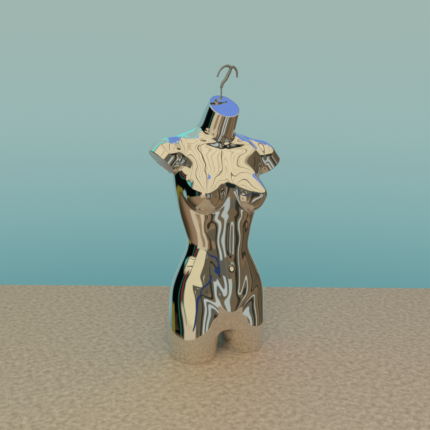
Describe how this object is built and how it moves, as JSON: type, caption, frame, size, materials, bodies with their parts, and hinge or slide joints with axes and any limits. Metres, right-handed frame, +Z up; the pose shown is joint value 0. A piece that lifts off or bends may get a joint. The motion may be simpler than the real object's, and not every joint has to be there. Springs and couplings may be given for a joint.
{
  "type": "torso mannequin",
  "caption": "Mirror-finish female torso form with cut neck, arm and thigh ends, standing on its thighs, with a swivelling double hook on the neck, for displaying garments.",
  "frame": {"origin": "on the ground, midway between the two thigh soles", "axes": "+Z up through the neck, -Y the way the figure faces, +X the figure's own left"},
  "size_m": [0.4741, 0.2518, 0.922],
  "materials": {
    "mirror_shell": "moulded plastic with mirror chrome plating",
    "mirror_cap": "flat plastic plate with mirror chrome plating",
    "satin_chrome": "satin chrome on cast steel",
    "bright_steel": "zinc-plated steel",
    "hardwood": "sawn, unvarnished",
    "bonding_strip": "unplated, glued"
  },
  "bodies": {
    "torso": {"front_shell": "mirror_shell", "back_shell": "mirror_shell", "neck_cap": "mirror_cap", "neck_block": "hardwood", "hook_bush": "bright_steel", "right_arm_cap": "mirror_cap", "right_thigh_cap": "mirror_cap", "right_side_strip": "bonding_strip", "right_outer_thigh_strip": "bonding_strip", "right_inner_thigh_strip": "bonding_strip", "left_arm_cap": "mirror_cap", "left_thigh_cap": "mirror_cap", "left_side_strip": "bonding_strip", "left_outer_thigh_strip": "bonding_strip", "left_inner_thigh_strip": "bonding_strip"},
    "hook": {"hook": "satin_chrome", "hook_stem": "bright_steel", "stem_clip": "bright_steel", "thrust_washer": "bright_steel", "stem_nut": "bright_steel", "lock_nut": "bright_steel"}
  },
  "joints": [
    {"name": "hook_swivel", "type": "hinge", "parent": "torso", "child": "hook", "pos_m": [0, -0.01476, 0.8216], "axis": [0, 0, 1], "continuous": true}
  ]
}
